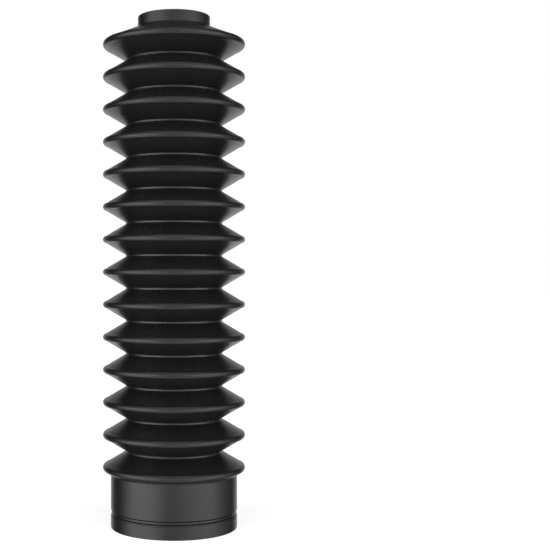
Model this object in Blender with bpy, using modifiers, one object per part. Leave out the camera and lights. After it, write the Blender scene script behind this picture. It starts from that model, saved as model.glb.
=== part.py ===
"""A moulded rubber gaiter for one leg of a motorcycle fork.

The gaiter is a single turned shape. A thin wall is folded into a stack of even convolutions,
each with a rounded bead along its crest, between a wide lower collar with a groove for its
clip and a narrow upper collar. The wall keeps one thickness, so the folds show inside too.

Lengths are in metres, +Z is up, and the origin is the centre of the foot. The section is
drawn as (radius, height) points, down the outside and back up the inside.
"""

from itertools import pairwise
from math import acos, atan2, cos, hypot, pi, radians, sin, tau
from typing import NamedTuple

import bpy
import numpy as np

NAME = "fork_gaiter"

# Collars, which are stretched over the fork leg below and its sliding tube above
LOWER_BORE = 0.0650
LOWER_COLLAR_HEIGHT = 0.0292
UPPER_BORE = 0.0353
UPPER_COLLAR_HEIGHT = 0.0062
COLLAR_WALL = 0.0022

# Clip groove around the lower collar: a flat seat between two fine creases, above a ramp
GROOVE_TOP = 0.00987
SEAT_DEPTH = 0.00055
UPPER_CREASE = 0.00065
SEAT_HEIGHT = 0.00110
LOWER_CREASE = 0.00055
CREASE_DEPTH = 0.0008
RAMP_HEIGHT = 0.00105

# Folds
CONVOLUTIONS = 14
PITCH = 0.01784
CREST_OVERHANG = 0.00437
FOLD_DEPTH = 0.01258
ROOT_HEIGHT = 0.0009
FOLD_WALL = 0.0020
BEAD_RADIUS = 0.0020
BEAD_PROUD = 0.00018
SHOULDER_RISE = 0.0092

# Roundings of the section
INNER_CREST_FILLET = 0.0008
COLLAR_FILLET = 0.0006
INNER_COLLAR_ROUND = 0.0012
RIM_ROUND = 0.0004

# Fineness of the faceted solid
SIDES = 32
BEAD_FACETS = 4
SMOOTH_ANGLE = radians(60)

# Moulded black rubber
RUBBER_COLOUR = (0.017, 0.017, 0.018, 1.0)
RUBBER_ROUGHNESS = 0.42

# Radii of the outer surface, and of the circles that the beads are drawn about
LOWER_COLLAR_RADIUS = LOWER_BORE / 2 + COLLAR_WALL
UPPER_COLLAR_RADIUS = UPPER_BORE / 2 + COLLAR_WALL
CREST_RADIUS = LOWER_COLLAR_RADIUS + CREST_OVERHANG
VALLEY_RADIUS = CREST_RADIUS - FOLD_DEPTH
BEAD_CENTRE = CREST_RADIUS - BEAD_RADIUS

# The flanks pass this far outside the bead's centre
BEAD_SEAT = BEAD_RADIUS - BEAD_PROUD

Point = tuple[float, float]


class Face(NamedTuple):
    """A straight stretch of the section.

    It faces along ``normal``, an angle in radians from the radius axis, and lies at ``reach``
    from the section's origin along that direction.
    """

    normal: float
    reach: float

    def back(self, wall: float) -> "Face":
        """Return the inner face of a wall that has this outer face."""
        return Face(self.normal - pi, wall - self.reach)

    def shifted(self, distance: float) -> "Face":
        """Return the face moved out along its normal."""
        return Face(self.normal, self.reach + distance)


def face_through(point: Point, normal: float, offset: float = 0.0) -> Face:
    """Return the face that passes ``offset`` outside a point."""
    radius, height = point
    return Face(normal, radius * cos(normal) + height * sin(normal) + offset)


def crossing(first: Face, second: Face) -> Point:
    """Return the point where two faces meet."""
    spread = sin(second.normal - first.normal)
    radius = (first.reach * sin(second.normal) - second.reach * sin(first.normal)) / spread
    height = (second.reach * cos(first.normal) - first.reach * cos(second.normal)) / spread
    return radius, height


def corner(first: Face, second: Face, radius: float = 0.0, facets: int = 1) -> list[Point]:
    """Return the points that round the corner between two faces.

    The rounding is drawn by facets that touch its arc. On the way round the section the
    normals turn clockwise at an outer edge, whose arc is centred in the rubber, and
    anticlockwise in an inner corner, whose arc is centred in the air.
    """
    if radius == 0.0:
        return [crossing(first, second)]
    bulge = radius if second.normal < first.normal else -radius
    centre = crossing(first.shifted(-bulge), second.shifted(-bulge))
    normals = np.linspace(first.normal, second.normal, facets + 2)[1:-1]
    touching = [face_through(centre, normal, bulge) for normal in normals]
    return [crossing(before, after) for before, after in pairwise([first, *touching, second])]


def flank_normal() -> float:
    """Return the direction that an upper flank faces, from a valley's edge to a bead's seat."""
    inward = BEAD_CENTRE - VALLEY_RADIUS
    upward = (PITCH - ROOT_HEIGHT) / 2
    slope = acos(BEAD_SEAT / hypot(inward, upward)) - atan2(inward, upward)
    return pi / 2 - slope


def lowest_crest() -> float:
    """Return the height of the lowest bead, whose lower flank ends on the lower collar."""
    normal = -flank_normal()
    flank = face_through((BEAD_CENTRE, 0.0), normal, BEAD_SEAT)
    drop = crossing(flank, Face(0.0, LOWER_COLLAR_RADIUS))[1]
    return LOWER_COLLAR_HEIGHT - drop


FLANK_NORMAL = flank_normal()
LOWEST_CREST = lowest_crest()
HIGHEST_CREST = LOWEST_CREST + (CONVOLUTIONS - 1) * PITCH
SHOULDER_TOP = HIGHEST_CREST + SHOULDER_RISE
HEIGHT = SHOULDER_TOP + UPPER_COLLAR_HEIGHT

# Faces of the two ends
TOP_FACE = Face(pi / 2, HEIGHT)
UPPER_COLLAR = Face(0.0, UPPER_COLLAR_RADIUS)
LOWER_COLLAR = Face(0.0, LOWER_COLLAR_RADIUS)
FOOT_FACE = Face(-pi / 2, 0.0)

# Flat band round the bottom of every valley
ROOT = Face(0.0, VALLEY_RADIUS)


def bead_centre(crest: int) -> Point:
    """Return the centre of a bead, counted from the top."""
    return BEAD_CENTRE, HIGHEST_CREST - crest * PITCH


def shoulder() -> Face:
    """Return the upper flank of the first fold, which runs up to the upper collar."""
    bead_radius, bead_height = bead_centre(0)
    inward = bead_radius - UPPER_COLLAR_RADIUS
    upward = SHOULDER_TOP - bead_height
    normal = atan2(upward, -inward) - acos(BEAD_SEAT / hypot(inward, upward))
    return face_through(bead_centre(0), normal, BEAD_SEAT)


def upper_flank(crest: int) -> Face:
    """Return the flank above a bead."""
    if crest == 0:
        return shoulder()
    return face_through(bead_centre(crest), FLANK_NORMAL, BEAD_SEAT)


def lower_flank(crest: int) -> Face:
    """Return the flank below a bead."""
    return face_through(bead_centre(crest), -FLANK_NORMAL, BEAD_SEAT)


def bead(crest: int) -> list[Point]:
    """Return the rounded bead that runs along a crest, as points on its arc."""
    centre_radius, centre_height = bead_centre(crest)
    beyond = acos(BEAD_SEAT / BEAD_RADIUS)
    start = upper_flank(crest).normal + beyond
    end = lower_flank(crest).normal - beyond
    return [
        (centre_radius + BEAD_RADIUS * cos(angle), centre_height + BEAD_RADIUS * sin(angle))
        for angle in np.linspace(start, end, BEAD_FACETS + 1)
    ]


def groove() -> list[Point]:
    """Return the groove that the clip lies in, from its square upper edge to its ramp's foot."""
    seat = LOWER_COLLAR_RADIUS - SEAT_DEPTH
    crease = seat - CREASE_DEPTH
    seat_top = GROOVE_TOP - UPPER_CREASE
    seat_foot = seat_top - SEAT_HEIGHT
    ramp_top = seat_foot - LOWER_CREASE
    return [
        (LOWER_COLLAR_RADIUS, GROOVE_TOP), (crease, GROOVE_TOP), (crease, seat_top),
        (seat, seat_top), (seat, seat_foot), (crease, seat_foot), (crease, ramp_top),
        (seat, ramp_top), (LOWER_COLLAR_RADIUS, ramp_top - RAMP_HEIGHT),
    ]


def outside() -> list[Point]:
    """Return the outer surface, from the upper rim down to the foot."""
    points = corner(TOP_FACE, UPPER_COLLAR, RIM_ROUND)
    points += corner(UPPER_COLLAR, shoulder(), COLLAR_FILLET)
    for crest in range(CONVOLUTIONS - 1):
        points += bead(crest)
        points += corner(lower_flank(crest), ROOT) + corner(ROOT, upper_flank(crest + 1))
    points += bead(CONVOLUTIONS - 1)
    points += corner(lower_flank(CONVOLUTIONS - 1), LOWER_COLLAR, COLLAR_FILLET)
    points += groove()
    points += corner(LOWER_COLLAR, FOOT_FACE, RIM_ROUND)
    return points


def inside() -> list[Point]:
    """Return the inner surface, from the foot up to the upper rim."""
    lower_bore = LOWER_COLLAR.back(COLLAR_WALL)
    upper_bore = UPPER_COLLAR.back(COLLAR_WALL)
    under = [lower_flank(crest).back(FOLD_WALL) for crest in range(CONVOLUTIONS)]
    over = [upper_flank(crest).back(FOLD_WALL) for crest in range(CONVOLUTIONS)]
    root = ROOT.back(FOLD_WALL)
    points = corner(FOOT_FACE, lower_bore)
    points += corner(lower_bore, under[-1], INNER_COLLAR_ROUND)
    for crest in range(CONVOLUTIONS - 1, 0, -1):
        points += corner(under[crest], over[crest], INNER_CREST_FILLET)
        points += corner(over[crest], root) + corner(root, under[crest - 1])
    points += corner(under[0], over[0], INNER_CREST_FILLET)
    points += corner(over[0], upper_bore, INNER_COLLAR_ROUND)
    points += corner(upper_bore, TOP_FACE)
    return points


def clear_scene() -> None:
    """Remove the objects of the start-up scene."""
    for leftover in list(bpy.data.objects):
        bpy.data.objects.remove(leftover, do_unlink=True)


def rubber() -> bpy.types.Material:
    """Return the satin black rubber that the gaiter is moulded in."""
    material = bpy.data.materials.new("moulded_rubber")
    material.use_nodes = True
    shader = material.node_tree.nodes["Principled BSDF"]
    shader.inputs["Base Color"].default_value = RUBBER_COLOUR
    shader.inputs["Roughness"].default_value = RUBBER_ROUGHNESS
    shader.inputs["Metallic"].default_value = 0.0
    return material


def section_object(collection: bpy.types.Collection) -> bpy.types.Object:
    """Return the closed section as an object that holds edges alone."""
    points = outside() + inside()
    vertices = [(radius, 0.0, height) for radius, height in points]
    edges = [(index, (index + 1) % len(points)) for index in range(len(points))]
    mesh = bpy.data.meshes.new(NAME)
    mesh.from_pydata(vertices, edges, [])
    section = bpy.data.objects.new(NAME, mesh)
    collection.objects.link(section)
    return section


def turn(section: bpy.types.Object) -> None:
    """Turn the section about the Z axis into the gaiter's solid."""
    screw = section.modifiers.new("turned", "SCREW")
    screw.axis = "Z"
    screw.angle = tau
    screw.steps = SIDES
    screw.render_steps = SIDES
    screw.use_merge_vertices = True
    screw.merge_threshold = 0.00001
    bpy.context.view_layer.update()
    evaluated = section.evaluated_get(bpy.context.evaluated_depsgraph_get())
    solid = bpy.data.meshes.new_from_object(evaluated)
    solid.shade_smooth()
    solid.set_sharp_from_angle(angle=SMOOTH_ANGLE)
    section.modifiers.remove(screw)
    section.data = solid


def main() -> None:
    """Build the gaiter."""
    clear_scene()
    collection = bpy.data.collections.new(NAME)
    bpy.context.scene.collection.children.link(collection)
    gaiter = section_object(collection)
    turn(gaiter)
    gaiter.data.materials.append(rubber())


if __name__ == "__main__":
    main()
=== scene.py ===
"""The looks of a moulded black rubber fork gaiter.

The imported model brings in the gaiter's solid as the fixed frame. This script turns a finer
skin of the same section about the same axis, gives it the satin finish of moulded rubber,
and stands it on a pale floor in soft studio light, seen from where the photograph was taken.

Lengths are in metres. +Z runs up the gaiter's axis, and the camera looks along +Y.
"""

import logging
from dataclasses import dataclass, field
from enum import Enum, IntEnum
from itertools import pairwise
from math import acos, atan2, cos, hypot, pi, radians, sin, tau
from typing import Any, NamedTuple

import bpy
import numpy as np
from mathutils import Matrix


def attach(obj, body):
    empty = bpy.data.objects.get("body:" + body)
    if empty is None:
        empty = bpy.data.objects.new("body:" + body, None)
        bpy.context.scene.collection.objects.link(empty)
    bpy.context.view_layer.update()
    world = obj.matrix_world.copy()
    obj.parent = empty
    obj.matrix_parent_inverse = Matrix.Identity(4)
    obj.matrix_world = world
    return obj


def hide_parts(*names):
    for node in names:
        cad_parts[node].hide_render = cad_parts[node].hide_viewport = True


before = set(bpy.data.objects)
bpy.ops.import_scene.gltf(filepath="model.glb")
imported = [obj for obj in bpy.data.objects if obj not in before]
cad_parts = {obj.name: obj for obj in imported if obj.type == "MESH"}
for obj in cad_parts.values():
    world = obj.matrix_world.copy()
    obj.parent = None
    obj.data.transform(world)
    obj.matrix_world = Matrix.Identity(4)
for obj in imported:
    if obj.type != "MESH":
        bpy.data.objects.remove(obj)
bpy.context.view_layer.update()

NODE = "fork_gaiter"
BODY = "root"
SKIN = "gaiter_skin"
WHITE = "#FFFFFF"

# The photograph's frame, and the places in it that fix the camera, in its own pixels
FRAME_PIXELS = 550
AXIS_COLUMN = 174.0
HORIZON_ROW = 272.5

log = logging.getLogger("fork_gaiter")


class Steps(IntEnum):
    """Straight steps that draw one arc of the section, by the kind of arc."""

    CREASE = 3
    EDGE = 4
    FILLET = 5
    BEAD = 12


class Ray(Enum):
    """Kinds of ray that are shown a white background."""

    CAMERA = "Is Camera Ray"
    GLOSSY = "Is Glossy Ray"
    TRANSMISSION = "Is Transmission Ray"


def linear(colour: str) -> tuple[float, float, float, float]:
    """Turn a colour as a screen shows it into linear light.

    Each channel below 0.04045 is divided by 12.92, and each above it is shifted by 0.055,
    scaled and raised to the power of 2.4, as the sRGB standard says.

    Args:
        colour: Colour as "#RRGGBB".

    Returns:
        Linear red, green and blue, with an alpha of one.
    """
    channels = np.array([int(colour[start:start + 2], 16) for start in (1, 3, 5)]) / 255
    light = np.where(channels <= 0.04045, channels / 12.92, ((channels + 0.055) / 1.055) ** 2.4)
    return (*map(float, light), 1.0)


def add_node(
    tree: bpy.types.NodeTree,
    kind: str,
    inputs: dict[str | int, Any] | None = None,
    **settings: Any,
) -> bpy.types.Node:
    """Add a node, set its options and feed its inputs.

    Args:
        tree: Node tree that the node joins.
        kind: Blender's name for the type of node.
        inputs: Value of each input, by name or number, or the socket that is linked to it.
        **settings: Options of the node itself.

    Returns:
        The new node.
    """
    node = tree.nodes.new(kind)
    for option, value in settings.items():
        setattr(node, option, value)
    for name, value in (inputs or {}).items():
        if isinstance(value, bpy.types.NodeSocket):
            tree.links.new(value, node.inputs[name])
        else:
            node.inputs[name].default_value = value
    return node


def straight_rays(tree: bpy.types.NodeTree, rays: bpy.types.Node) -> bpy.types.NodeSocket:
    """Return one for a ray from the camera or through glass, and nought for any other.

    Args:
        tree: Node tree of the world or of a material.
        rays: Its Light Path node.

    Returns:
        The socket that holds the answer.
    """
    return add_node(
        tree, "ShaderNodeMath",
        {0: rays.outputs[Ray.CAMERA.value], 1: rays.outputs[Ray.TRANSMISSION.value]},
        operation="ADD",
    ).outputs[0]


class Face(NamedTuple):
    """A straight stretch of the gaiter's section.

    It faces along ``normal``, an angle in radians from the radius axis, and lies at ``reach``
    from the section's origin along that direction.
    """

    normal: float
    reach: float

    def shifted(self, distance: float) -> "Face":
        """Return the face moved out along its normal."""
        return Face(self.normal, self.reach + distance)

    def back(self, wall: float) -> "Face":
        """Return the inner face of a wall that has this outer face."""
        return Face(self.normal - pi, wall - self.reach)


def face_through(point: np.ndarray, normal: float, offset: float = 0.0) -> Face:
    """Return the face that passes ``offset`` outside a point."""
    return Face(normal, float(point[0]) * cos(normal) + float(point[1]) * sin(normal) + offset)


def face_between(start: tuple[float, float], end: tuple[float, float]) -> Face:
    """Return the face that runs from one corner of the section to the next."""
    normal = atan2(end[0] - start[0], start[1] - end[1])
    return face_through(np.array(start), normal)


def crossing(first: Face, second: Face) -> np.ndarray:
    """Return the point where two faces meet, as radius and height.

    The two face equations, radius * cos(normal) + height * sin(normal) = reach, are solved
    together.

    Args:
        first: One face.
        second: The other, which isn't parallel to it.

    Returns:
        The point's radius and height.
    """
    spread = sin(second.normal - first.normal)
    radius = (first.reach * sin(second.normal) - second.reach * sin(first.normal)) / spread
    height = (second.reach * cos(first.normal) - first.reach * cos(second.normal)) / spread
    return np.array([radius, height])


def around(centre: np.ndarray, radius: float, angles: np.ndarray) -> np.ndarray:
    """Return points on a circle.

    Each point is the centre plus the radius times the cosine and the sine of its angle.

    Args:
        centre: Centre of the circle.
        radius: Its radius, below nought for points on the far side of the centre.
        angles: Angle of each point, in radians.

    Returns:
        Points, one a row.
    """
    return centre + radius * np.stack([np.cos(angles), np.sin(angles)], axis=1)


def rounding(first: Face, second: Face, radius: float, steps: Steps) -> np.ndarray:
    """Return the arc that rounds the corner between two faces and touches both.

    On the way round the section the normals turn clockwise at an outer edge, whose arc is
    centred in the rubber, and anticlockwise in an inner corner, whose arc is centred in the
    air. The arc's points lie along the normals that turn from one face to the other.

    Args:
        first: Face before the corner.
        second: Face after the corner.
        radius: Radius of the rounding.
        steps: Straight steps that draw the arc.

    Returns:
        Points of the arc, one a row.
    """
    bulge = radius if second.normal < first.normal else -radius
    centre = crossing(first.shifted(-bulge), second.shifted(-bulge))
    return around(centre, bulge, np.linspace(first.normal, second.normal, steps + 1))


def joined(runs: list[np.ndarray], margin: float) -> np.ndarray:
    """Join the arcs of a closed section with straight stretches.

    A straight stretch gets a point close to each end and one halfway, so that smooth shading
    turns only at its ends. A stretch of four margins or less is left as it is.

    Args:
        runs: Arcs in order round the section.
        margin: Distance of the close points from a stretch's ends.

    Returns:
        Points of the whole section, one a row.
    """
    pieces = []
    for run, following in pairwise([*runs, runs[0]]):
        start, end = run[-1], following[0]
        length = float(np.hypot(*(end - start)))
        pieces.append(run)
        if length > 4 * margin:
            shares = np.array([margin / length, 0.5, 1 - margin / length])[:, None]
            pieces.append(start + (end - start) * shares)
    return np.concatenate(pieces)


@dataclass(frozen=True)
class MouldedRubber:
    """Black EPDM rubber, compression moulded in a fine-blasted steel mould.

    It looks near black and satin: soft, wide highlights over a very dark grey body. The mould
    leaves a faint grain, and a thin wax bloom makes the gloss slightly uneven in patches.

    Attributes:
        body: Colour where there is no bloom.
        bloomed: Colour where the bloom is thickest.
        ior: Index of refraction of the rubber.
        roughness: Lowest and highest roughness, from bare rubber to bloom.
        bloom_size: Size of the bloom's patches.
        bloom_detail: Finer layers of noise in the bloom.
        bloom_breakup: Strength of those layers.
        bloom_range: Levels of the bloom that give the lowest and the highest roughness.
        grain_size: Size of the mould's grain.
        grain_detail: Finer layers of noise in the grain.
        grain_breakup: Strength of those layers.
        grain_height: Height of the grain.
    """

    body: str = "#1D1D1E"
    bloomed: str = "#212122"
    ior: float = 1.52
    roughness: tuple[float, float] = (0.24, 0.30)
    bloom_size: float = 0.015
    bloom_detail: float = 3.0
    bloom_breakup: float = 0.6
    bloom_range: tuple[float, float] = (0.3, 0.7)
    # A blasted mould's grain is about 0.1 mm; it is drawn coarser, at 0.9 mm, so that it shows
    # faintly in a near view
    grain_size: float = 0.0009
    grain_detail: float = 2.0
    grain_breakup: float = 0.5
    grain_height: float = 0.00005

    def material(self) -> bpy.types.Material:
        """Make the rubber's material.

        One noise is the bloom, which sets the colour and the roughness. A finer one is the
        grain, which bumps the surface.

        Returns:
            The material.
        """
        rubber = bpy.data.materials.new("moulded_epdm_rubber")
        rubber.use_nodes = True
        tree = rubber.node_tree
        shader = tree.nodes["Principled BSDF"]
        place = add_node(tree, "ShaderNodeTexCoord").outputs["Object"]
        bloom = add_node(
            tree, "ShaderNodeTexNoise",
            {"Vector": place, "Scale": 1 / self.bloom_size, "Detail": self.bloom_detail,
             "Roughness": self.bloom_breakup},
        )
        grain = add_node(
            tree, "ShaderNodeTexNoise",
            {"Vector": place, "Scale": 1 / self.grain_size, "Detail": self.grain_detail,
             "Roughness": self.grain_breakup},
        )
        tint = add_node(
            tree, "ShaderNodeMix",
            {"Factor": bloom.outputs["Fac"], "A": linear(self.body), "B": linear(self.bloomed)},
            data_type="RGBA",
        )
        gloss = add_node(
            tree, "ShaderNodeMapRange",
            {"Value": bloom.outputs["Fac"],
             "From Min": self.bloom_range[0], "From Max": self.bloom_range[1],
             "To Min": self.roughness[0], "To Max": self.roughness[1]},
        )
        bump = add_node(
            tree, "ShaderNodeBump",
            {"Height": grain.outputs["Fac"], "Strength": 1.0, "Distance": self.grain_height},
        )
        shader.inputs["IOR"].default_value = self.ior
        tree.links.new(tint.outputs["Result"], shader.inputs["Base Color"])
        tree.links.new(gloss.outputs["Result"], shader.inputs["Roughness"])
        tree.links.new(bump.outputs["Normal"], shader.inputs["Normal"])
        return rubber


@dataclass(frozen=True)
class Collar:
    """A plain cylindrical end of the gaiter, which grips a tube.

    Attributes:
        bore: Inner diameter.
        wall: Thickness of the wall.
        rim_round: Rounding of the end's outer edge.
        bore_round: Rounding of the end's inner edge.
    """

    bore: float
    wall: float
    rim_round: float = 0.0004
    bore_round: float = 0.0003

    @property
    def side(self) -> Face:
        """Return the outer side."""
        return Face(0.0, self.bore / 2 + self.wall)

    @property
    def inner_side(self) -> Face:
        """Return the bore."""
        return self.side.back(self.wall)


@dataclass(frozen=True)
class ClipGroove:
    """The groove round the lower collar that its clip lies in.

    Its upper edge is square. Its seat is a flat band between two fine creases, each cut in
    square above and sloping back out below. From the lower crease the groove comes out to the
    head of a ramp, which leads out to the collar's side.

    Attributes:
        top: Height of the upper edge above the foot.
        seat_depth: Depth of the seat behind the collar's side.
        upper_crease: Height of the crease above the seat.
        seat_height: Height of the seat.
        lower_crease: Height of the crease below the seat.
        crease_depth: Depth of both creases behind the seat.
        ramp_depth: Depth of the ramp's head behind the collar's side.
        ramp_height: Height of the ramp.
        edge_round: Rounding of every corner but the ramp's foot.
        ramp_round: Rounding of the ramp's foot.
    """

    top: float = 0.00987
    seat_depth: float = 0.00055
    upper_crease: float = 0.00065
    seat_height: float = 0.00105
    lower_crease: float = 0.00050
    crease_depth: float = 0.00080
    ramp_depth: float = 0.00035
    ramp_height: float = 0.00115
    edge_round: float = 0.00005
    ramp_round: float = 0.0006

    def outline(self, side: Face) -> list[np.ndarray]:
        """Draw the groove's rounded corners, from its upper edge down to its ramp's foot.

        Args:
            side: Outer side of the collar.

        Returns:
            One arc for each corner.
        """
        seat = side.reach - self.seat_depth
        crease = seat - self.crease_depth
        seat_top = self.top - self.upper_crease
        seat_foot = seat_top - self.seat_height
        ramp_top = seat_foot - self.lower_crease
        corners = [
            (side.reach, self.top), (crease, self.top), (seat, seat_top),
            (seat, seat_foot), (crease, seat_foot), (side.reach - self.ramp_depth, ramp_top),
            (side.reach, ramp_top - self.ramp_height),
        ]
        faces = [side, *(face_between(*ends) for ends in pairwise(corners)), side]
        rounds = [self.edge_round] * (len(corners) - 1) + [self.ramp_round]
        return [
            rounding(before, after, radius, Steps.CREASE)
            for (before, after), radius in zip(pairwise(faces), rounds)
        ]


@dataclass(frozen=True)
class Folds:
    """The stack of convolutions, each with a rounded bead along its crest.

    Attributes:
        count: Number of folds.
        pitch: Height from one crest to the next.
        crest_overhang: Reach of the crests beyond the lower collar's side.
        depth: Depth of the valleys' roots behind the crests.
        root_height: Height of the flat band at each root.
        wall: Thickness of the wall.
        bead_radius: Radius of the beads.
        bead_proud: Height of the beads above the flanks beside them.
        root_fillet: Rounding at either edge of a root, outside.
        inner_root_fillet: Rounding at either edge of a root, inside.
        inner_crest_fillet: Rounding behind a crest, inside.
    """

    count: int = 14
    pitch: float = 0.01784
    crest_overhang: float = 0.00437
    depth: float = 0.01258
    root_height: float = 0.0009
    wall: float = 0.0020
    bead_radius: float = 0.0020
    bead_proud: float = 0.00018
    root_fillet: float = 0.00015
    inner_root_fillet: float = 0.0022
    inner_crest_fillet: float = 0.0008

    @property
    def flank_offset(self) -> float:
        """Return how far the flanks pass outside a bead's centre."""
        return self.bead_radius - self.bead_proud

    def slope_normal(self) -> float:
        """Work out the direction that an upper flank faces.

        The flank runs from the edge of a valley's flat root past a bead's centre, at the
        flanks' offset. Its normal leans from the line between that edge and the centre by the
        angle whose cosine is the offset over that line's length.

        Returns:
            Angle of the flank's normal from the radius axis, in radians.
        """
        inward = self.depth - self.bead_radius
        upward = (self.pitch - self.root_height) / 2
        lean = acos(self.flank_offset / hypot(inward, upward))
        return pi / 2 - (lean - atan2(inward, upward))


@dataclass
class ForkGaiter:
    """The whole moulding: a lower collar, the folds, a shoulder and an upper collar.

    Attributes:
        lower: Collar that grips the fork leg.
        upper: Collar that grips the sliding tube.
        groove: Clip groove in the lower collar.
        folds: Convolutions between the collars.
        lower_height: Height at which the lowest flank meets the lower collar.
        upper_height: Height of the upper collar above the shoulder.
        shoulder_rise: Height of the shoulder above the top bead's centre.
        collar_fillet: Rounding where a collar meets a flank, outside.
        inner_collar_round: Rounding where a bore meets a flank, inside.
        sides: Straight sides of each ring of the skin.
        margin: Distance from an arc's end to the point that keeps its shading crisp.
        slope: Direction that every upper flank but the shoulder faces, in radians.
        crest_radius: Radius of the crests.
        bead_line: Radius of the circles that the beads' centres lie on.
        crests: Radius and height of each bead's centre, from the top one down.
        height: Height of the whole gaiter.
    """

    lower: Collar = Collar(bore=0.0650, wall=0.0022)
    upper: Collar = Collar(bore=0.0353, wall=0.0022)
    groove: ClipGroove = ClipGroove()
    folds: Folds = Folds()
    lower_height: float = 0.0292
    upper_height: float = 0.0062
    shoulder_rise: float = 0.0092
    collar_fillet: float = 0.0006
    inner_collar_round: float = 0.0012
    sides: int = 112
    margin: float = 0.00004
    slope: float = field(init=False)
    crest_radius: float = field(init=False)
    bead_line: float = field(init=False)
    crests: np.ndarray = field(init=False)
    height: float = field(init=False)

    def __post_init__(self) -> None:
        """Work out where the beads lie and how tall the gaiter is."""
        folds = self.folds
        self.slope = folds.slope_normal()
        self.crest_radius = self.lower.side.reach + folds.crest_overhang
        self.bead_line = self.crest_radius - folds.bead_radius
        flank = face_through(np.array([self.bead_line, 0.0]), -self.slope, folds.flank_offset)
        lowest = self.lower_height - crossing(flank, self.lower.side)[1]
        heights = lowest + folds.pitch * np.arange(folds.count)[::-1]
        self.crests = np.stack([np.full(folds.count, self.bead_line), heights], axis=1)
        self.height = float(heights[0]) + self.shoulder_rise + self.upper_height

    @property
    def top(self) -> Face:
        """Return the flat end of the upper collar."""
        return Face(pi / 2, self.height)

    @property
    def foot(self) -> Face:
        """Return the flat end of the lower collar."""
        return Face(-pi / 2, 0.0)

    @property
    def root(self) -> Face:
        """Return the flat band that runs round the bottom of every valley."""
        return Face(0.0, self.crest_radius - self.folds.depth)

    def shoulder(self) -> Face:
        """Work out the top fold's upper flank, which runs from its bead to the upper collar.

        Its normal leans from the line between the bead's centre and the collar's foot as a
        flank's does.

        Returns:
            The shoulder's face.
        """
        across = self.bead_line - self.upper.side.reach
        normal = atan2(self.shoulder_rise, -across)
        normal -= acos(self.folds.flank_offset / hypot(across, self.shoulder_rise))
        return face_through(self.crests[0], normal, self.folds.flank_offset)

    def upper_flank(self, crest: int) -> Face:
        """Return the flank above a bead.

        Args:
            crest: Number of the bead, from nought at the top.

        Returns:
            The flank's face, which is the shoulder above the top bead.
        """
        if crest == 0:
            return self.shoulder()
        return face_through(self.crests[crest], self.slope, self.folds.flank_offset)

    def lower_flank(self, crest: int) -> Face:
        """Return the flank below a bead, counted from the top."""
        return face_through(self.crests[crest], -self.slope, self.folds.flank_offset)

    def bead(self, crest: int) -> np.ndarray:
        """Draw the bead along a crest: an arc that ends where it meets the two flanks.

        It has a point close to each end, as the flanks have, so that the crease on either
        side of the bead stays crisp under smooth shading.

        Args:
            crest: Number of the bead, from nought at the top.

        Returns:
            Points of the arc, one a row.
        """
        beyond = acos(self.folds.flank_offset / self.folds.bead_radius)
        start = self.upper_flank(crest).normal + beyond
        end = self.lower_flank(crest).normal - beyond
        inset = self.margin / self.folds.bead_radius
        between = np.linspace(start - inset, end + inset, Steps.BEAD + 1)
        angles = np.array([start, *between, end])
        return around(self.crests[crest], self.folds.bead_radius, angles)

    def outside(self) -> list[np.ndarray]:
        """Draw the outer surface, from the upper rim down to the foot.

        Returns:
            The surface's arcs, in order.
        """
        folds, last = self.folds, self.folds.count - 1
        lower, upper, fillet = self.lower, self.upper, self.collar_fillet
        runs = [
            rounding(self.top, upper.side, upper.rim_round, Steps.EDGE),
            rounding(upper.side, self.shoulder(), fillet, Steps.FILLET),
        ]
        for crest in range(last):
            under, over = self.lower_flank(crest), self.upper_flank(crest + 1)
            runs.append(self.bead(crest))
            runs.append(rounding(under, self.root, folds.root_fillet, Steps.CREASE))
            runs.append(rounding(self.root, over, folds.root_fillet, Steps.CREASE))
        runs.append(self.bead(last))
        runs.append(rounding(self.lower_flank(last), lower.side, fillet, Steps.FILLET))
        runs += self.groove.outline(lower.side)
        runs.append(rounding(lower.side, self.foot, lower.rim_round, Steps.EDGE))
        return runs

    def inside(self) -> list[np.ndarray]:
        """Draw the inner surface, from the foot up to the upper rim.

        Returns:
            The surface's arcs, in order.
        """
        folds, crests = self.folds, range(self.folds.count)
        lower, upper, bend = self.lower, self.upper, self.inner_collar_round
        under = [self.lower_flank(crest).back(folds.wall) for crest in crests]
        over = [self.upper_flank(crest).back(folds.wall) for crest in crests]
        root = self.root.back(folds.wall)
        runs = [
            rounding(self.foot, lower.inner_side, lower.bore_round, Steps.CREASE),
            rounding(lower.inner_side, under[-1], bend, Steps.EDGE),
        ]
        for crest in reversed(crests):
            hollow = folds.inner_crest_fillet
            runs.append(rounding(under[crest], over[crest], hollow, Steps.EDGE))
            if crest > 0:
                ridge = folds.inner_root_fillet
                runs.append(rounding(over[crest], root, ridge, Steps.CREASE))
                runs.append(rounding(root, under[crest - 1], ridge, Steps.CREASE))
        runs.append(rounding(over[0], upper.inner_side, bend, Steps.EDGE))
        # The top again, its normal a whole turn further round the section
        top = Face(self.top.normal - tau, self.top.reach)
        runs.append(rounding(upper.inner_side, top, upper.bore_round, Steps.CREASE))
        return runs

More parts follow.
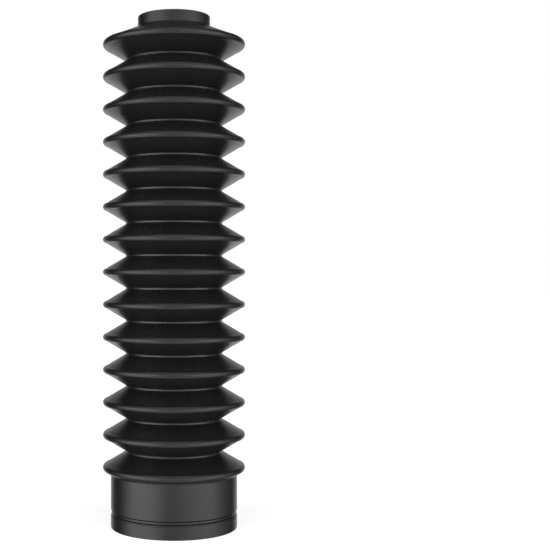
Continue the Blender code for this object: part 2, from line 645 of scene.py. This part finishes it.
    def surface(self) -> tuple[np.ndarray, np.ndarray]:
        """Turn the section about the Z axis.

        A point of the section at a radius and a height goes, at each angle, to the radius
        times the angle's cosine and sine, at that height. Both directions of the grid are
        closed, so the surface has no edge.

        Returns:
            Vertices, and the four corners of each face.
        """
        section = joined(self.outside() + self.inside(), self.margin)
        angles = np.linspace(0, tau, self.sides, endpoint=False)
        radius, height = section[:, 0, None], section[:, 1, None]
        points = np.stack(
            [radius * np.cos(angles), radius * np.sin(angles), height * np.ones_like(angles)],
            axis=2,
        )
        number = np.arange(len(section) * self.sides).reshape(len(section), self.sides)
        below, beside = np.roll(number, -1, axis=0), np.roll(number, -1, axis=1)
        corner = np.roll(below, -1, axis=1)
        faces = np.stack([number, below, corner, beside], axis=2)
        return points.reshape(-1, 3), faces.reshape(-1, 4)

    def build(self) -> bpy.types.Object:
        """Make the gaiter's mesh, smooth shaded.

        Returns:
            Its object, which sits at the origin with its place in its mesh.
        """
        vertices, faces = self.surface()
        mesh = bpy.data.meshes.new(SKIN)
        mesh.from_pydata(vertices, [], faces)
        mesh.shade_smooth()
        mesh.validate()
        gaiter = bpy.data.objects.new(SKIN, mesh)
        bpy.context.scene.collection.objects.link(gaiter)
        return gaiter

    def dress(self, gaiter: bpy.types.Object) -> None:
        """Give the gaiter its rubber and put it in the place of the solid.

        Args:
            gaiter: The gaiter's object.
        """
        gaiter.data.materials.append(MouldedRubber().material())
        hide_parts(NODE)
        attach(gaiter, BODY)


class Way(NamedTuple):
    """The sockets that hold a direction's azimuth and elevation, in radians."""

    azimuth: bpy.types.NodeSocket
    elevation: bpy.types.NodeSocket


@dataclass(frozen=True)
class Panel:
    """A soft-edged patch of light in the studio's surround, placed by its direction.

    Everything but the light is in degrees.

    Attributes:
        azimuth: Centre's bearing, nought on the camera's side of the gaiter, growing towards
            the picture's right.
        half_width: Angle from the centre to where the light has fallen to a half, sideways.
        side_fade: Half of the soft edge on either side.
        elevation: Centre's height above the horizon.
        half_height: Angle from the centre to where the light has fallen to a half, up or down.
        end_fade: Half of the soft edge above and below.
        light: Brightness in the middle, where one is white.
    """

    azimuth: float
    half_width: float
    side_fade: float
    elevation: float
    half_height: float
    end_fade: float
    light: float

    def share(self, tree: bpy.types.NodeTree, way: Way) -> bpy.types.NodeSocket:
        """Work out how far a direction lies inside the panel.

        The direction's share along its azimuth and that along its elevation are multiplied.

        Args:
            tree: The world's node tree.
            way: The direction.

        Returns:
            The socket that holds the share, from nought to one.
        """
        shares = [
            self.falloff(tree, way.azimuth, self.azimuth, self.half_width, self.side_fade),
            self.falloff(tree, way.elevation, self.elevation, self.half_height, self.end_fade),
        ]
        return add_node(
            tree, "ShaderNodeMath", {0: shares[0], 1: shares[1]}, operation="MULTIPLY"
        ).outputs[0]

    def falloff(
        self,
        tree: bpy.types.NodeTree,
        angle: bpy.types.NodeSocket,
        centre: float,
        half: float,
        fade: float,
    ) -> bpy.types.NodeSocket:
        """Work out how far a direction lies inside the panel along one angle.

        The angle's distance from the centre is taken the short way round. The share falls by
        a smooth step, from one where that distance is the half extent less the fade, to
        nought where it is the half extent plus the fade.

        Args:
            tree: The world's node tree.
            angle: The direction's azimuth or elevation, in radians.
            centre: The panel's, in degrees.
            half: The panel's half width or half height, in degrees.
            fade: The panel's fade along this angle, in degrees.

        Returns:
            The socket that holds the share, from nought to one.
        """
        offset = add_node(
            tree, "ShaderNodeMath", {0: angle, 1: radians(centre)}, operation="SUBTRACT"
        )
        turned = add_node(
            tree, "ShaderNodeMath", {0: offset.outputs[0], 1: pi, 2: -pi}, operation="WRAP"
        )
        distance = add_node(
            tree, "ShaderNodeMath", {0: turned.outputs[0]}, operation="ABSOLUTE"
        )
        return add_node(
            tree, "ShaderNodeMapRange",
            {"Value": distance.outputs[0], "From Min": radians(half - fade),
             "From Max": radians(half + fade), "To Min": 1.0, "To Max": 0.0},
            interpolation_type="SMOOTHSTEP",
        ).outputs[0]


@dataclass(frozen=True)
class Studio:
    """Plain soft light round the gaiter, with a white background and a pale floor.

    Attributes:
        strip: Narrow level strip on the camera's side, which lights the beads and collars.
        left: Wide panel to the left.
        right: Weaker wide panel to the right.
        above: Wide panel overhead.
        below: Wide panel underfoot, for the light that a white floor throws up.
        backdrop: White surround behind the gaiter.
        ambient: Light from every direction.
        gloss_white: Share of a white backdrop that reflections show.
        floor_size: Length of the floor's sides.
        floor_colour: Colour of the floor's paint.
        floor_glow: The floor's own light, which brings it up to white.
    """

    strip: Panel = Panel(azimuth=0, half_width=82, side_fade=5, elevation=-0.5, half_height=8,
                         end_fade=8, light=1.85)
    left: Panel = Panel(azimuth=-61, half_width=35, side_fade=18, elevation=-13,
                        half_height=33, end_fade=17, light=1.33)
    right: Panel = Panel(azimuth=61, half_width=36, side_fade=36, elevation=-13,
                         half_height=36, end_fade=21, light=0.92)
    above: Panel = Panel(azimuth=0, half_width=83, side_fade=23, elevation=75,
                         half_height=54, end_fade=32, light=0.72)
    below: Panel = Panel(azimuth=0, half_width=83, side_fade=31, elevation=-75,
                         half_height=42, end_fade=22, light=0.88)
    backdrop: Panel = Panel(azimuth=178, half_width=32, side_fade=16, elevation=-35,
                            half_height=45, end_fade=45, light=0.74)
    ambient: float = 0.02
    gloss_white: float = 0.4
    floor_size: float = 12.0
    floor_colour: str = "#F4F4F4"
    floor_glow: float = 0.75

    def world(self) -> None:
        """Light the studio by its panels, and show white behind the gaiter."""
        world = bpy.data.worlds.new("studio")
        bpy.context.scene.world = world
        world.use_nodes = True
        tree = world.node_tree
        way = self.way(tree)
        backdrop = self.backdrop.share(tree, way)
        light = add_node(
            tree, "ShaderNodeMix",
            {"Factor": self.whiteness(tree, backdrop), "A": self.glow(tree, way, backdrop),
             "B": 1.0},
            data_type="FLOAT",
        )
        background = tree.nodes["Background"]
        background.inputs["Color"].default_value = linear(WHITE)
        tree.links.new(light.outputs["Result"], background.inputs["Strength"])

    def way(self, tree: bpy.types.NodeTree) -> Way:
        """Work out the direction in which a ray meets the world.

        The azimuth is the angle whose tangent is X over -Y, taken all the way round, and the
        elevation is the angle whose sine is Z.

        Args:
            tree: The world's node tree.

        Returns:
            The direction.
        """
        direction = add_node(tree, "ShaderNodeTexCoord").outputs["Generated"]
        parts = add_node(tree, "ShaderNodeSeparateXYZ", {0: direction}).outputs
        front = add_node(
            tree, "ShaderNodeMath", {0: parts["Y"], 1: -1.0}, operation="MULTIPLY"
        )
        azimuth = add_node(
            tree, "ShaderNodeMath", {0: parts["X"], 1: front.outputs[0]}, operation="ARCTAN2"
        )
        elevation = add_node(tree, "ShaderNodeMath", {0: parts["Z"]}, operation="ARCSINE")
        return Way(azimuth.outputs[0], elevation.outputs[0])

    def glow(
        self, tree: bpy.types.NodeTree, way: Way, backdrop: bpy.types.NodeSocket
    ) -> bpy.types.NodeSocket:
        """Return the light from a direction: the ambient, and each panel's share of its own.

        Args:
            tree: The world's node tree.
            way: Direction that the light comes from.
            backdrop: How far that direction lies inside the backdrop.

        Returns:
            The socket that holds the light.
        """
        panels = (self.strip, self.left, self.right, self.above, self.below)
        shares = [*(panel.share(tree, way) for panel in panels), backdrop]
        total: float | bpy.types.NodeSocket = self.ambient
        for share, panel in zip(shares, (*panels, self.backdrop)):
            total = add_node(
                tree, "ShaderNodeMath", {0: share, 1: panel.light, 2: total},
                operation="MULTIPLY_ADD",
            ).outputs[0]
        return total

    def whiteness(
        self, tree: bpy.types.NodeTree, backdrop: bpy.types.NodeSocket
    ) -> bpy.types.NodeSocket:
        """Return how far a ray sees plain white in place of the panels, from nought to one.

        A ray from the camera or through glass sees white all round. A reflection sees a share
        of it, inside the backdrop alone: white all round would make the shoulder too bright.

        Args:
            tree: The world's node tree.
            backdrop: How far the ray's direction lies inside the backdrop.

        Returns:
            The socket that holds the share.
        """
        rays = add_node(tree, "ShaderNodeLightPath")
        glossy = add_node(
            tree, "ShaderNodeMath", {0: rays.outputs[Ray.GLOSSY.value], 1: self.gloss_white},
            operation="MULTIPLY",
        )
        return add_node(
            tree, "ShaderNodeMath",
            {0: glossy.outputs[0], 1: backdrop, 2: straight_rays(tree, rays)},
            operation="MULTIPLY_ADD", use_clamp=True,
        ).outputs[0]

    def floor(self) -> bpy.types.Object:
        """Lay the pale floor, which keeps the gaiter's shadow.

        Returns:
            The floor's object.
        """
        corners = self.floor_size / 2 * np.array([[-1, -1, 0], [1, -1, 0], [1, 1, 0], [-1, 1, 0]])
        mesh = bpy.data.meshes.new("studio_floor")
        mesh.from_pydata(corners, [], [(0, 1, 2, 3)])
        mesh.materials.append(self.floor_paint())
        floor = bpy.data.objects.new("studio_floor", mesh)
        bpy.context.scene.collection.objects.link(floor)
        return floor

    def floor_paint(self) -> bpy.types.Material:
        """Make the floor's matt white paint.

        Rays from the camera and through glass see it, and it is clear to every other ray, so
        that the panel below can light the gaiter.

        Returns:
            The material.
        """
        paint = bpy.data.materials.new("matt_white_paint")
        paint.use_nodes = True
        tree = paint.node_tree
        tree.nodes.clear()
        seen = straight_rays(tree, add_node(tree, "ShaderNodeLightPath"))
        matt = add_node(tree, "ShaderNodeBsdfDiffuse", {"Color": linear(self.floor_colour)})
        light = add_node(tree, "ShaderNodeEmission", {"Strength": self.floor_glow})
        lit = add_node(tree, "ShaderNodeAddShader", {0: matt.outputs[0], 1: light.outputs[0]})
        clear = add_node(tree, "ShaderNodeBsdfTransparent")
        mixed = add_node(
            tree, "ShaderNodeMixShader", {0: seen, 1: clear.outputs[0], 2: lit.outputs[0]}
        )
        add_node(tree, "ShaderNodeOutputMaterial", {"Surface": mixed.outputs[0]})
        return paint


@dataclass(frozen=True)
class PhotographCamera:
    """The camera, level and square to the gaiter, framed as the photograph is.

    Attributes:
        distance: Distance from the gaiter's axis.
        height: Height above the floor.
        sensor: Width of the sensor, in millimetres.
        focal_pixels: Focal length, in the photograph's pixels.
    """

    distance: float = 0.6025
    height: float = 0.1395
    sensor: float = 36.0
    focal_pixels: float = 1093.5

    def place(self) -> bpy.types.Object:
        """Make the camera, which looks along +Y and shifts the gaiter to the frame's left.

        Returns:
            The camera's object.
        """
        data = bpy.data.cameras.new("photograph_camera")
        data.sensor_width = self.sensor
        data.lens = self.sensor * self.focal_pixels / FRAME_PIXELS
        data.shift_x = 0.5 - AXIS_COLUMN / FRAME_PIXELS
        data.shift_y = HORIZON_ROW / FRAME_PIXELS - 0.5
        camera = bpy.data.objects.new("photograph_camera", data)
        camera.location = (0.0, -self.distance, self.height)
        camera.rotation_euler = (pi / 2, 0.0, 0.0)
        bpy.context.scene.collection.objects.link(camera)
        bpy.context.scene.camera = camera
        return camera


def main() -> None:
    """Build the gaiter and its studio."""
    logging.basicConfig(level=logging.INFO, format="%(name)s: %(message)s")
    gaiter = ForkGaiter()
    skin = gaiter.build()
    gaiter.dress(skin)
    studio = Studio()
    studio.world()
    floor = studio.floor()
    for piece in (skin, floor):
        mesh = piece.data
        log.info("%s: %d vertices, %d faces", piece.name, len(mesh.vertices), len(mesh.polygons))
    camera = PhotographCamera().place()
    log.info("%s: lens of %.1f mm", camera.name, camera.data.lens)
    bpy.context.scene.view_settings.view_transform = "Standard"


if __name__ == "__main__":
    main()
